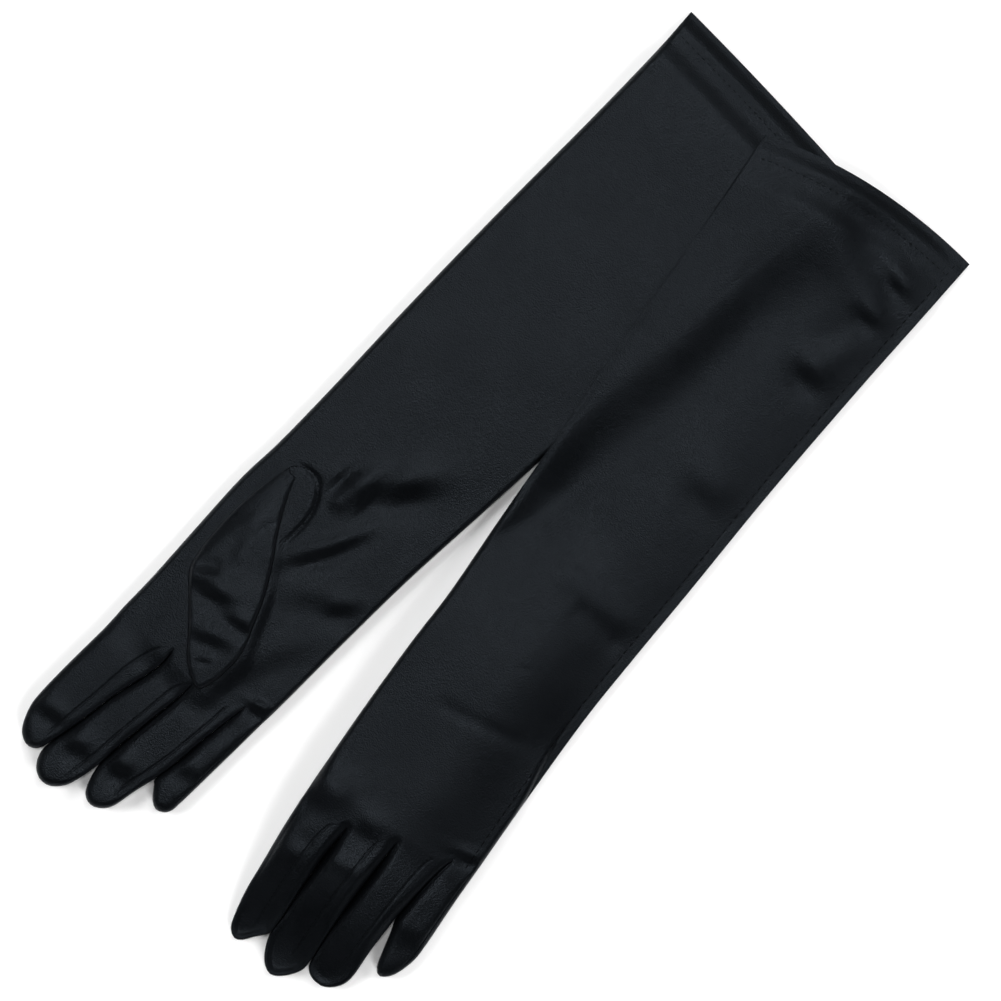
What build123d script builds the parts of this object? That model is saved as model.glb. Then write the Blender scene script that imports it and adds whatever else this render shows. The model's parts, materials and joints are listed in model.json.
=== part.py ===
"""A pair of elbow-length satin opera gloves, laid flat one over the other's cuff.

The right-hand glove lies palm up with its thumb folded over the palm. The left-hand glove lies palm
down, its cuff over the other cuff and its thumb tucked under the palm. Each glove is a trank (arm and
hand in one cloth, folded round the index side and sewn down the little-finger side), four finger
stalls, six fourchettes between the fingers, a set-in thumb, a turned-in hem and its sewing threads.

Millimetres, +Z up. Each glove is drawn in its own plan, (u, v): u runs across the hand towards the
little finger, v from the knuckles to the cuff. The whole pair is then set down with the middle of its
box at the origin and its underside at z = 0. +Y points to the cuffs.
"""

from build123d import *
import math
import os

# ---- cloth -------------------------------------------------------------------------------------
CLOTH = 0.5  # stretch satin, one layer
LOFT = 6.6  # height of an empty glove lying flat
EDGE_ROUND = 2.4  # outer rounding where the cloth turns over at an edge
THUMB_LOFT = 6.0  # height of the folded thumb
LAYER_GAP = 0.4  # clearance between gloves, and between a thumb and its palm
TURN_GAP = 0.3  # clearance of a finger's mouth as it turns about its knuckle line
FINGER_GAP = 0.5  # half the clearance between neighbouring fingers

# ---- one glove's plan: half widths at distances from the knuckle line ----------------------------
# Both edges run on past the cuff and the knuckles, where the glove's own ends cut them.
FOLD_EDGE = [(-42.0, -40.0), (-42.0, 0.0), (-43.5, 58.0), (-43.0, 105.0), (-44.5, 160.0), (-46.2, 260.0), (-48.0, 420.0)]
SEAM_EDGE = [(42.0, -40.0), (42.0, 0.0), (42.0, 55.0), (43.0, 105.0), (46.0, 160.0), (53.0, 260.0), (67.1, 420.0)]
CUFF_FOLD_U = -47.5  # the cuff's two corners, across the arm
CUFF_SEAM_U = 62.8
KNUCKLE_V = -6.0  # where the knuckle line crosses the middle of the hand

# ---- thumb: set into the palm along a slot beside the fold -----------------------------------------
THUMB_SLOT_U = -31.0
THUMB_SLOT_V = (34.0, 98.0)
THUMB_SLOT_WIDTH = 10.0
THUMB_WRIST_CORNER = (-17.0, 98.0)
THUMB_TIP_CENTRE = (2.5, 9.5)
THUMB_TIP_RADIUS = 10.0

# ---- hem and stitching -----------------------------------------------------------------------------
HEM_DEPTH = 12.0
STITCH = (2.6, 0.5, 0.3)  # length, width and height of one stitch
STITCH_PITCH = 5.0
SIDE_SEAM_INSET = 5.0
FINGER_NAMES = ("index", "middle", "ring", "little")

# ---- the two gloves ----------------------------------------------------------------------------------
# knuckles: the plan's origin; lean: how far the hand leans from +Y; cuff_v: the cuff's two corners;
# cuff_bow: how far the cuff's edge bows out between them;
# slant: rise of the knuckle line per mm across; bases: the fingers' borders on the knuckle line;
# tips: each finger's tip centre and radius.
GLOVES = {
    "right": {
        "knuckles": (-59.5, -147.0),
        "lean": 5.2,
        "cuff_v": (375.0, 371.0),
        "cuff_bow": 0.8,
        "slant": 0.08,
        "bases": (-41.8, -13.3, 8.0, 28.6, 41.8),
        "tips": ((-31.2, -66.6, 10.0), (-10.0, -73.6, 10.3), (12.6, -63.2, 10.0), (33.4, -51.4, 7.6)),
        "palm_up": True,
    },
    "left": {
        "knuckles": (59.0, -144.0),
        "lean": -3.7,
        "cuff_v": (357.0, 363.5),
        "cuff_bow": 6.5,
        "slant": 0.22,
        "bases": (-42.4, -20.8, 3.0, 25.4, 42.4),
        "tips": ((-30.6, -73.4, 9.6), (-7.2, -76.2, 10.4), (14.0, -69.0, 9.8), (35.6, -53.2, 7.0)),
        "palm_up": False,
    },
}


def glove_floor(glove):
    """Underside of a glove's trank: the palm-down glove lies on its own thumb and the other cuff."""
    return 0.0 if glove["palm_up"] else LOFT + LAYER_GAP


def set_down(glove, shape, height=0.0):
    """Moves a shape from the glove's plan to the pair's frame."""
    x, y = glove["knuckles"]
    return Location((x, y, glove_floor(glove) + height), (0, 0, -glove["lean"])) * shape


def slab(face, low, high):
    """A flat face in the plan, as a solid from one height to another."""
    return Pos(0, 0, low) * extrude(face, high - low)


def soften(solid, radius, keep_sharp=None):
    """Rounds the upper and lower rims of a slab, but for edges that keep_sharp picks."""
    box = solid.bounding_box()
    rims = [
        e
        for e in solid.edges()
        if (abs(e.bounding_box().size.Z) < 1e-6)
        and (abs(e.center().Z - box.min.Z) < 1e-6 or abs(e.center().Z - box.max.Z) < 1e-6)
        and not (keep_sharp and keep_sharp(e))
    ]
    return fillet(rims, radius)


# ---- the trank -------------------------------------------------------------------------------------------
def knuckle_point(glove, u):
    return (u, KNUCKLE_V + glove["slant"] * u)


def knuckle_direction(glove):
    length = math.hypot(1.0, glove["slant"])
    return (1.0 / length, glove["slant"] / length)


def trank_face(glove, inset=0.0, past_ends=0.0):
    """The hand and arm in plan, from just behind the knuckle line to the cuff."""
    fold = Spline(*[(u + inset, v) for u, v in FOLD_EDGE])
    seam = Spline(*[(u - inset, v) for u, v in SEAM_EDGE])
    cloth = make_face(Wire([fold, Line(fold @ 1, seam @ 1), seam, Line(seam @ 0, fold @ 0)]))
    return cloth & between_ends(glove, past_ends)


def cuff_edge(glove, past_end=0.0):
    """The cuff's edge in plan, a shallow arc through its two corners, from the seam to the fold."""
    fold = (CUFF_FOLD_U, glove["cuff_v"][0] + past_end)
    seam = (CUFF_SEAM_U, glove["cuff_v"][1] + past_end)
    rise = (seam[1] - fold[1]) / (seam[0] - fold[0])
    middle = ((seam[0] + fold[0]) / 2, (seam[1] + fold[1]) / 2 + glove["cuff_bow"])
    beyond = 12.0
    drop = beyond * 4 * glove["cuff_bow"] / (seam[0] - fold[0])
    first = (seam[0] + beyond, seam[1] + rise * beyond - drop)
    last = (fold[0] - beyond, fold[1] - rise * beyond - drop)
    return ThreePointArc(first, middle, last)


def between_ends(glove, past_ends):
    """Everything between a line just behind the knuckles and the cuff's edge."""
    behind = LOFT / 2 + TURN_GAP - past_ends
    cuff = cuff_edge(glove, past_ends)
    low = [(u, knuckle_point(glove, u)[1] + behind) for u in ((cuff @ 1).X, (cuff @ 0).X)]
    return make_face(Wire([cuff, Line(cuff @ 1, low[0]), Line(*low), Line(low[1], cuff @ 0)]))


def across(edge):
    """True for the straight rims at the knuckles and the cuff."""
    size = edge.bounding_box().size
    return size.X > 20 and size.Y < size.X


def trank_outer(glove):
    return soften(slab(trank_face(glove), 0, LOFT), EDGE_ROUND, across)


def trank_inside(glove, layers=1, past_ends=8.0):
    wall = CLOTH * layers
    face = trank_face(glove, wall, past_ends)
    return soften(slab(face, wall, LOFT - wall), EDGE_ROUND - wall, across)


def thumb_slot(glove):
    """The slot in the palm-side cloth that the thumb is sewn to."""
    low, high = THUMB_SLOT_V
    face = Pos(THUMB_SLOT_U, (low + high) / 2) * Rot(0, 0, 90) * SlotOverall(high - low, THUMB_SLOT_WIDTH)
    middle = LOFT / 2
    return slab(face, middle, LOFT + 1) if glove["palm_up"] else slab(face, -1, middle)


def trank(glove):
    return trank_outer(glove) - trank_inside(glove) - thumb_slot(glove)


def hem(glove):
    """The turned-in allowance, lying against the inside of the cuff."""
    band = slab(between_ends(glove, 0.0) - between_ends(glove, -HEM_DEPTH), 0, LOFT)
    cuff_end = Pos(0, min(glove["cuff_v"]), 0) * Box(200, 100, 3 * LOFT)
    return (trank_inside(glove, 1) - trank_inside(glove, 2)) & band & cuff_end


# ---- fingers -----------------------------------------------------------------------------------------------
def tangent_point(corner, centre, radius, side):
    """Where a line from corner touches a circle, on its left (1) or right (-1) side seen from the corner."""
    dx, dy = corner[0] - centre[0], corner[1] - centre[1]
    distance = math.hypot(dx, dy)
    turn = math.atan2(dy, dx) + side * math.acos(radius / distance)
    return (centre[0] + radius * math.cos(turn), centre[1] + radius * math.sin(turn))


def stall_corners(glove, finger, inset, past_mouth):
    """A finger's two mouth corners, moved back past the mouth if asked."""
    left, right = glove["bases"][finger] + FINGER_GAP, glove["bases"][finger + 1] - FINGER_GAP
    corners = [knuckle_point(glove, left + inset), knuckle_point(glove, right - inset)]
    return [(u, v + past_mouth) for u, v in corners]


def stall_face(glove, finger, inset=0.0, past_mouth=0.0):
    """A finger in plan: straight sides from the knuckle line to a round tip."""
    u, v, radius = glove["tips"][finger]
    radius -= inset
    left, right = stall_corners(glove, finger, inset, past_mouth)
    touch_left = tangent_point(left, (u, v), radius, 1)
    touch_right = tangent_point(right, (u, v), radius, -1)
    tip = (u, v - radius)
    outline = Wire(
        [
            Line(left, touch_left),
            ThreePointArc(touch_left, tip, touch_right),
            Line(touch_right, right),
            Line(right, left),
        ]
    )
    return make_face(outline)


def mouth_rim(glove):
    """Picks the rims that lie on the knuckle line or behind it."""

    def picks(edge):
        c = edge.center()
        return c.Y > knuckle_point(glove, c.X)[1] - 0.5

    return picks


def stall_shell(glove, finger):
    """A hollow finger, open at its mouth, with its middle height at z = 0."""
    half = LOFT / 2
    outer = soften(slab(stall_face(glove, finger), -half, half), EDGE_ROUND, mouth_rim(glove))
    hollow = slab(stall_face(glove, finger, CLOTH, 4.0), CLOTH - half, half - CLOTH)
    return outer - soften(hollow, EDGE_ROUND - CLOTH, mouth_rim(glove))


def side_band(glove, finger, side):
    """The block that holds one side's fourchette: the rounded side of the finger, short of its tip."""
    u, v, radius = glove["tips"][finger]
    corner = stall_corners(glove, finger, 0.0, 0.0)[0 if side < 0 else 1]
    touch = tangent_point(corner, (u, v), radius, 1 if side < 0 else -1)
    length = math.dist(corner, touch)
    along = ((touch[0] - corner[0]) / length, (touch[1] - corner[1]) / length)
    inward = (-side * abs(along[1]), side * along[0] * (1 if along[1] < 0 else -1))
    near = [(corner[0] - 3 * along[0], corner[1] - 3 * along[1]), touch]
    far = [(p[0] + EDGE_ROUND * inward[0], p[1] + EDGE_ROUND * inward[1]) for p in near]
    out = [(p[0] - 2 * inward[0], p[1] - 2 * inward[1]) for p in near]
    face = make_face(Polyline(out[0], out[1], far[1], far[0], close=True))
    return slab(face, -LOFT, LOFT)


def droop(glove, finger):
    """Degrees that a finger slopes down from its knuckle, so that a raised glove's tip meets the table."""
    u, v, radius = glove["tips"][finger]
    reach = knuckle_point(glove, u)[1] - v + radius
    return math.degrees(math.asin(glove_floor(glove) / (reach + LOFT)))


def turn_line(glove):
    """The knuckle line that a glove's fingers turn about, in the plan, at the fingers' middle height."""
    u, v = knuckle_point(glove, 0.0)
    du, dv = knuckle_direction(glove)
    return Axis((u, v, 0), (du, dv, 0))


def lay_finger(glove, finger, shape):
    """Slopes a finger's piece down to the table and sets it down with its glove."""
    return set_down(glove, shape.rotate(turn_line(glove), droop(glove, finger)), LOFT / 2)


def fourchette_sides(finger):
    """-1 is the index side and 1 the little-finger side: the glove's two outer sides have no fourchette."""
    return [side for side in (-1, 1) if 0 <= finger + side < len(FINGER_NAMES)]


def side_name(side):
    return "outer" if side > 0 else "inner"


# ---- thumb -------------------------------------------------------------------------------------------------
def thumb_face(inset=0.0, past_mouth=0.0):
    """The folded thumb in plan: mouth along the slot, one corner at the wrist and a round tip."""
    low, high = THUMB_SLOT_V
    near_tip = (THUMB_SLOT_U - past_mouth, low + inset)
    near_wrist = (THUMB_SLOT_U - past_mouth, high - inset)
    corner = (THUMB_WRIST_CORNER[0] - inset, THUMB_WRIST_CORNER[1] - inset)
    radius = THUMB_TIP_RADIUS - inset
    first = tangent_point(near_tip, THUMB_TIP_CENTRE, radius, 1)
    last = tangent_point(corner, THUMB_TIP_CENTRE, radius, -1)
    reach = math.dist((THUMB_SLOT_U, high), THUMB_TIP_CENTRE)
    tip = tuple(c + radius * (c - a) / reach for c, a in zip(THUMB_TIP_CENTRE, (THUMB_SLOT_U, high)))
    outline = Wire(
        [
            Line(near_tip, first),
            ThreePointArc(first, tip, last),
            Line(last, corner),
            Line(corner, near_wrist),
            Line(near_wrist, near_tip),
        ]
    )
    return make_face(outline)


def at_slot(edge):
    return edge.center().X < THUMB_SLOT_U + 1.0


def thumb(glove):
    """A hollow thumb, open along the slot, on the palm or under it."""
    half = THUMB_LOFT / 2
    outer = soften(slab(thumb_face(), -half, half), EDGE_ROUND - 0.2, at_slot)
    hollow = slab(thumb_face(CLOTH, 4.0), CLOTH - half, half - CLOTH)
    shell = outer - soften(hollow, EDGE_ROUND - 0.2 - CLOTH, at_slot)
    return set_down(glove, shell, thumb_height(glove))


def thumb_height(glove):
    """The thumb's middle height above the underside of its trank."""
    half = THUMB_LOFT / 2
    return LOFT + LAYER_GAP + half if glove["palm_up"] else half - glove_floor(glove)


# ---- threads -------------------------------------------------------------------------------------------------
def stitches(path, z):
    """Separate stitches along a path in the plan, their undersides at height z."""
    long, wide, high = STITCH
    count = int(path.length // STITCH_PITCH)
    found = []
    for i in range(count):
        share = (i + 0.5) / count
        at, way = path @ share, path % share
        turn = math.degrees(math.atan2(way.Y, way.X))
        found.append(Pos(at.X, at.Y, z + high / 2) * Rot(0, 0, turn) * Box(long, wide, high))
    return found


def side_seam_stitches(glove):
    start = 6.0
    edge = [(u - SIDE_SEAM_INSET, v) for u, v in SEAM_EDGE if start < v < glove["cuff_v"][1]]
    first = (SEAM_EDGE[1][0] - SIDE_SEAM_INSET, start)
    last = (CUFF_SEAM_U - SIDE_SEAM_INSET, glove["cuff_v"][1] - 2.0)
    return stitches(Spline(first, *edge, last), LOFT)


def hem_stitches(glove):
    row = cuff_edge(glove, 1.5 - HEM_DEPTH).trim(0.16, 0.88)
    return stitches(row, LOFT)


def thumb_seam_stitches(glove):
    low, high = THUMB_SLOT_V
    around = SlotOverall(high - low + 4.0, THUMB_SLOT_WIDTH + 4.0)
    path = (Pos(THUMB_SLOT_U, (low + high) / 2) * Rot(0, 0, 90) * around).wire()
    palm = LOFT if glove["palm_up"] else -STITCH[2]
    return stitches(path, palm)


def finger_stitches(glove, finger):
    """Stitches along the upper edge of each of a finger's fourchettes."""
    found = []
    u, v, radius = glove["tips"][finger]
    for side in fourchette_sides(finger):
        inset = EDGE_ROUND + 1.0
        corner = stall_corners(glove, finger, inset, -4.0)[0 if side < 0 else 1]
        touch = tangent_point(corner, (u, v), radius - inset, 1 if side < 0 else -1)
        found += stitches(Line(corner, touch), LOFT / 2)
    return found


# ---- the pair --------------------------------------------------------------------------------------------------
def glove_nodes(name, glove):
    """Every node of one glove, in the pair's frame before it is centred."""
    made = {
        f"{name}_trank": set_down(glove, trank(glove)),
        f"{name}_cuff_hem": set_down(glove, hem(glove)),
        f"{name}_thumb": thumb(glove),
        f"{name}_side_seam_stitches": set_down(glove, Compound(side_seam_stitches(glove))),
        f"{name}_hem_stitches": set_down(glove, Compound(hem_stitches(glove))),
        f"{name}_thumb_seam_stitches": set_down(glove, Compound(thumb_seam_stitches(glove))),
    }
    for finger, finger_name in enumerate(FINGER_NAMES):
        shell = stall_shell(glove, finger)
        for side in fourchette_sides(finger):
            band = side_band(glove, finger, side)
            strip = shell & band
            shell = shell - band
            node = f"{name}_{finger_name}_fourchette_{side_name(side)}"
            made[node] = lay_finger(glove, finger, strip)
        made[f"{name}_{finger_name}_stall"] = lay_finger(glove, finger, shell)
        rows = Compound(finger_stitches(glove, finger))
        made[f"{name}_{finger_name}_stitches"] = lay_finger(glove, finger, rows)
    return made


def centre_of(made):
    box = Compound([piece for shape in made.values() for piece in shape.solids()]).bounding_box()
    return Vector((box.min.X + box.max.X) / 2, (box.min.Y + box.max.Y) / 2, box.min.Z)


def build():
    """All nodes of the pair, and the shift that centres them."""
    made = {}
    for name, glove in GLOVES.items():
        made.update(glove_nodes(name, glove))
    middle = centre_of(made)
    return {node: Pos(*(-middle)) * Compound(shape.solids()) for node, shape in made.items()}, -middle


NODES, SHIFT = build()
os.makedirs("parts", exist_ok=True)
for node, shape in NODES.items():
    export_step(shape, f"parts/{node}.step")
print(len(NODES), "nodes, moved by", tuple(round(value, 3) for value in SHIFT))
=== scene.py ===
"""A pair of black satin opera gloves lying flat, the right one palm up and the left one palm down.

Each glove is drawn in its own plan, in millimetres: u runs across the hand towards the little finger
and v from the knuckles to the cuff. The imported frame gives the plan's place in the pair.
"""

import json
import math

import bpy
import numpy as np
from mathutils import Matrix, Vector


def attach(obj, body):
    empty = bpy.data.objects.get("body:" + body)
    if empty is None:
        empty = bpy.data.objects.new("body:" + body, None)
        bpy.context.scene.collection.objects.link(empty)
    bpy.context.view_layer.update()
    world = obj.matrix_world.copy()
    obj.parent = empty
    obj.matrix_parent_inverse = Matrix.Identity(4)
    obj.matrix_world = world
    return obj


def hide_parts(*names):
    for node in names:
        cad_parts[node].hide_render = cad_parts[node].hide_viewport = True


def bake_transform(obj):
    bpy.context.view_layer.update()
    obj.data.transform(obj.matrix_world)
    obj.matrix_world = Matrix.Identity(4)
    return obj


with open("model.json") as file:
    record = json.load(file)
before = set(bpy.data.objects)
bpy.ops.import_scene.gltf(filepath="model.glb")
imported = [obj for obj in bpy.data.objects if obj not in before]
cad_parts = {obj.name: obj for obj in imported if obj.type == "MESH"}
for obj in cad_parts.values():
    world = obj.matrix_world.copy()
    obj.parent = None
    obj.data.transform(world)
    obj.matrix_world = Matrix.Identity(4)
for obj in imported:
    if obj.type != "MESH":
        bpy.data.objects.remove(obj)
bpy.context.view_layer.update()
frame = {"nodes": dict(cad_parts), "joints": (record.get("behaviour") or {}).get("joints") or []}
JOINTS = {joint["name"]: joint for joint in frame["joints"]}

# ---- sizes, in millimetres -----------------------------------------------------------------------
MM = 0.001
CLOTH = 0.4  # thickness of one layer of satin
HEM_CLOTH = 0.3
TABLE_GAP = 0.15  # the underside lies this far above the table
LEAST_LOFT = 0.25  # the top of a glove is at least this far above its underside
FINGER_GAP = 0.04  # half the gap between the sides of neighbouring fingers
ARM_LOFT = 4.4
ARM_LENGTH = 374.0  # from the knuckles to the cuff
ARM_ONLY = 40.0  # points that all lie beyond this v are worked out without the hand's shapes
SLOT_MIDDLE = (-31.0, 66.0)  # the middle of the thumb's slot in the plan
HEM_DEPTH = 12.0
HEM_ROW = 11.4  # the hem's stitches are this far back from the cuff's edge
SIDE_SEAM_INSET = 5.0
RESTING_EDGE = 3.5  # the left sleeve leaves the right one this far in from its seam
CUFF_END = 369.0  # beyond this v of the right glove, the left sleeve stays as high as it is there

# The rounded edges: how high up in the loft the edge itself lies, and how wide the rounding is.
EDGE_RIM, EDGE_RADIUS = 0.5, 2.6
RIM_STEP = 0.08  # at its edge the underside is this share of the loft below the top

# ---- how finely the pieces are divided ------------------------------------------------------------
FINGERS = ("index", "middle", "ring", "little")
INNER_COLUMNS, PANEL_COLUMNS, OUTER_COLUMNS = 3, 14, 8  # columns of faces across one finger
OUTER_START = INNER_COLUMNS + PANEL_COLUMNS
FINGER_COLUMNS = OUTER_START + OUTER_COLUMNS
FINGER_ROWS = 64
FOURCHETTE_ROWS = 52  # a fourchette ends this many rows from the knuckles
INNER_SHARE, OUTER_SHARE = 0.075, 0.9  # the sewn lines' places across a finger, unless the plan draws them
THUMB_ROWS, THUMB_COLUMNS = 100, 44
HEM_ROWS, HEM_COLUMNS = 9, 60
TINY = 1e-15  # keeps a division by a length from failing

# The stitches of each seam: length, distance from one to the next, and width.
SIDE_STITCH = (3.4, 4.2, 0.5)
HEM_STITCH = (2.2, 3.4, 0.36)
THUMB_STITCH = (1.7, 1.9, 0.5)
FINGER_STITCH = (1.3, 2.0, 0.34)

# ---- plans ---------------------------------------------------------------------------------------
# fold and seam: the arm's two edges from knuckle to cuff. creases: where neighbouring fingers meet,
# from crotch to tip. tips: how each fingertip goes on from there, index side first, farthest point last.
# outer: each finger's sewn line towards the little finger, as it shows from above.
RIGHT = {
    "name": "right",
    "lean": 5.2,
    "palm_up": True,
    "fold": [(-41.3, -1.0), (-41.5, 17.0), (-42.8, 42.0), (-44.5, 78.0), (-43.6, 104.0), (-44.1, 142.0),
             (-45.5, 188.0), (-46.3, 248.0), (-46.2, 308.0), (-46.8, 350.0), (-48.2, 375.2)],
    "seam": [(41.4, 1.0), (41.8, 18.0), (42.0, 60.0), (42.8, 100.0), (45.4, 146.0), (48.6, 205.0),
             (53.1, 265.0), (58.0, 315.0), (62.8, 371.0)],
    "cuff_bow": 0.8,
    "creases": [
        [(-41.3, -1.0), (-40.7, -14.0), (-41.0, -38.0), (-40.6, -58.0)],
        [(-11.2, 0.2), (-10.5, -5.5), (-12.0, -16.4), (-15.8, -32.6), (-18.5, -52.0), (-21.6, -68.0)],
        [(6.0, -4.3), (5.5, -14.6), (3.9, -29.0), (2.1, -47.0), (1.4, -59.8)],
        [(30.3, 4.4), (29.5, -3.1), (27.5, -17.3), (26.3, -32.5), (24.2, -46.2)],
        [(41.4, 1.0), (41.0, -20.0), (40.4, -46.0)],
    ],
    "tips": {
        "index": [[(-38.4, -67.0), (-34.6, -73.8)], [(-22.8, -73.2), (-25.4, -76.0)], (-29.2, -76.8)],
        "middle": [[(-21.4, -75.5), (-18.8, -80.4), (-15.6, -83.0)],
                   [(-1.0, -73.0), (-3.2, -78.4), (-7.2, -82.6)], (-11.6, -84.0)],
        "ring": [[(3.3, -68.0), (5.4, -72.8), (8.2, -75.2)],
                 [(21.6, -58.0), (19.4, -69.2), (15.6, -74.2)], (11.6, -75.9)],
        "little": [[(25.3, -48.2), (28.2, -52.0), (30.8, -54.8)], [(39.8, -52.0), (37.8, -55.0)],
                   (34.2, -56.4)],
    },
    "outer": {
        "index": [(-12.6, 0.2), (-17.0, -4.6), (-19.4, -12.2), (-21.0, -20.3), (-22.0, -34.0),
                  (-23.6, -50.0), (-25.2, -66.0)],
        "middle": [(4.8, -4.3), (1.6, -9.0), (0.3, -16.0), (-0.6, -27.0), (-2.2, -43.0), (-3.4, -58.0),
                   (-5.0, -70.0)],
        "ring": [(28.6, 4.2), (24.6, -0.6), (23.8, -10.5), (23.0, -19.5), (21.6, -33.0), (19.4, -46.0),
                 (16.4, -60.0)],
    },
}
LEFT = {
    "name": "left",
    "lean": -3.7,
    "palm_up": False,
    "fold": [(-42.2, -14.0), (-42.7, 6.0), (-43.3, 40.0), (-43.2, 75.0), (-42.3, 103.0), (-43.3, 141.0),
             (-44.0, 180.0), (-45.6, 240.0), (-46.4, 310.0), (-47.7, 356.6)],
    "seam": [(42.4, 4.0), (41.8, 45.0), (41.8, 90.0), (43.6, 125.0), (46.4, 167.0), (49.9, 225.0),
             (55.0, 285.0), (59.0, 325.0), (62.9, 363.5)],
    "cuff_bow": 6.5,
    "creases": [
        [(-42.2, -14.0), (-41.2, -30.0), (-39.6, -47.0), (-38.3, -62.0)],
        [(-17.6, -12.5), (-18.2, -28.0), (-18.2, -47.6), (-17.7, -62.0), (-17.8, -71.4)],
        [(4.7, -4.6), (4.3, -20.1), (3.8, -39.1), (3.8, -57.6), (4.6, -71.0)],
        [(30.4, 4.0), (28.7, -1.0), (26.8, -12.3), (25.4, -25.8), (24.8, -32.6)],
        [(42.4, 4.0), (42.6, -13.0), (43.3, -34.0)],
    ],
    "tips": {
        "index": [[(-35.6, -75.5), (-33.6, -80.6)], [(-18.9, -73.3), (-22.8, -77.6), (-26.2, -81.8)],
                  (-29.8, -83.2)],
        "middle": [[(-15.8, -78.0), (-12.2, -84.0)], [(3.8, -77.4), (-1.2, -84.0)], (-6.8, -87.0)],
        "ring": [[(6.4, -75.0), (9.6, -77.2)], [(24.2, -50.0), (24.4, -67.0), (20.8, -74.4)],
                 (15.0, -77.8)],
        "little": [[(26.4, -38.0), (28.6, -47.5), (31.0, -56.0)], [(42.8, -44.0), (39.4, -54.0)],
                   (34.6, -58.4)],
    },
    "outer": {
        "index": [(-19.0, -12.6), (-24.2, -15.0), (-26.4, -23.0), (-26.8, -36.0), (-26.4, -50.0),
                  (-25.6, -66.0)],
        "middle": [(3.2, -4.5), (-1.8, -7.4), (-3.2, -16.0), (-3.8, -28.0), (-4.0, -43.0),
                   (-3.6, -58.0), (-3.4, -70.0)],
        "ring": [(28.4, 4.0), (22.6, 0.6), (20.4, -9.0), (19.3, -20.0), (18.6, -35.0), (18.2, -50.0),
                 (17.8, -62.0)],
    },
}
# The thumb's flap in the same plan: the edge towards the index side, its folded edge, and its tip.
THUMB = {
    "left": [(-32.1, 98.1), (-34.7, 84.5), (-36.1, 69.6), (-35.8, 54.5), (-34.6, 42.2), (-31.8, 32.6),
             (-25.3, 25.6), (-15.7, 15.9), (-9.6, 9.1), (-5.1, 3.9), (-0.3, 0.2), (5.0, -2.4)],
    "right": [(-26.9, 96.7), (-23.7, 89.0), (-15.4, 74.1), (-6.1, 60.8), (1.6, 47.8), (7.4, 34.8),
              (12.2, 22.4), (12.8, 11.0), (11.8, 2.0)],
    "tip": (9.0, -3.4),
}
# The rounded end of the thumb's seam, which shows on the palm beyond the thumb's root.
PALM_SEAM = [(-32.1, 98.1), (-28.2, 101.9), (-22.0, 103.5), (-17.2, 101.2), (-12.7, 96.0),
             (-10.1, 88.9), (-9.2, 80.8), (-9.5, 75.0), (-9.9, 68.5)]


# ---- small tools ---------------------------------------------------------------------------------
def smooth(x):
    """Goes from 0 to 1 as x does, level at both ends."""
    x = np.clip(x, 0.0, 1.0)
    return x * x * (3 - 2 * x)


def swell(x):
    """Rounded profile of a folded edge: 0 at the edge, 1 from one radius inwards."""
    x = np.clip(x, 0.0, 1.0)
    return np.sqrt(1 - (1 - x) ** 2)


def eased(count):
    """Fractions from 0 to 1 in count steps, closer together towards both ends."""
    even = np.linspace(0, 1, count + 1)
    crowded = 0.5 - 0.5 * np.cos(np.pi * even)
    return 0.35 * even + 0.65 * crowded


def unit(vectors):
    """Vectors, one in each row, brought to length 1."""
    length = np.linalg.norm(vectors, axis=1)
    return vectors / np.maximum(length, TINY)[:, None]


def spline(points, step=2.0, after=None):
    """A smooth curve through points, as points about step apart (Catmull-Rom), heading on for after."""
    p = np.array(points, float)
    beyond = 2 * p[-1] - p[-2] if after is None else after
    p = np.vstack([2 * p[0] - p[1], p, beyond])
    out = []
    for a, b, c, d in zip(p, p[1:], p[2:], p[3:]):
        count = max(2, int(np.linalg.norm(c - b) / step))
        t = np.linspace(0, 1, count, endpoint=False)[:, None]
        curve = 2 * b + (c - a) * t + (2 * a - 5 * b + 4 * c - d) * t**2 + (3 * b - a - 3 * c + d) * t**3
        out.append(0.5 * curve)
    return np.vstack([*out, p[-2]])


def lengths_along(line):
    """Length along a line up to each of its points."""
    steps = np.hypot(*np.diff(line, axis=0).T)
    return np.concatenate([[0], np.cumsum(steps)])


def point_at(distance, far, line):
    """Points of a line at some distances, where far is the distance of each of its own points."""
    return np.column_stack([np.interp(distance, far, line[:, 0]), np.interp(distance, far, line[:, 1])])


def crossing(line, v):
    """The u at which an edge line of the plan passes each v."""
    return np.interp(v, line[:, 1], line[:, 0])


def segments(edges):
    """Starts, ends and pairs of values for all segments of some lines with a value at each point."""
    starts = np.vstack([line[:-1] for line, values in edges])
    ends = np.vstack([line[1:] for line, values in edges])
    pairs = [pair for line, values in edges for pair in zip(values[:-1], values[1:])]
    return starts, ends, pairs


def nearest(points, starts, ends, pairs):
    """Distance from each point to the nearest of the segments, and the value interpolated there."""
    best = np.full(len(points), np.inf)
    found = np.zeros((len(points), np.size(pairs[0][0])))
    for a, b, (first, last) in zip(starts, ends, pairs):
        way = b - a
        t = np.clip(((points - a) @ way) / max(way @ way, TINY), 0, 1)
        gap = np.hypot(*(points - a - t[:, None] * way).T)
        closer = gap < best
        best[closer] = gap[closer]
        found[closer] = np.atleast_1d(first) + np.subtract(last, first) * t[closer, None]
    return best, found.squeeze()


# ---- folds -----------------------------------------------------------------------------------------
def ridge(path, width, height):
    """A soft ridge, or a furrow if height is negative, that fades out at both ends of its path."""
    line = spline(path, 3.0)
    far = lengths_along(line)
    starts, ends, shares = segments([(line, far / far[-1])])

    def add(p):
        gap, at = nearest(p, starts, ends, shares)
        return height * np.exp(-0.5 * (gap / width) ** 2) * smooth(4 * at) * smooth(4 * (1 - at))

    return add


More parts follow.
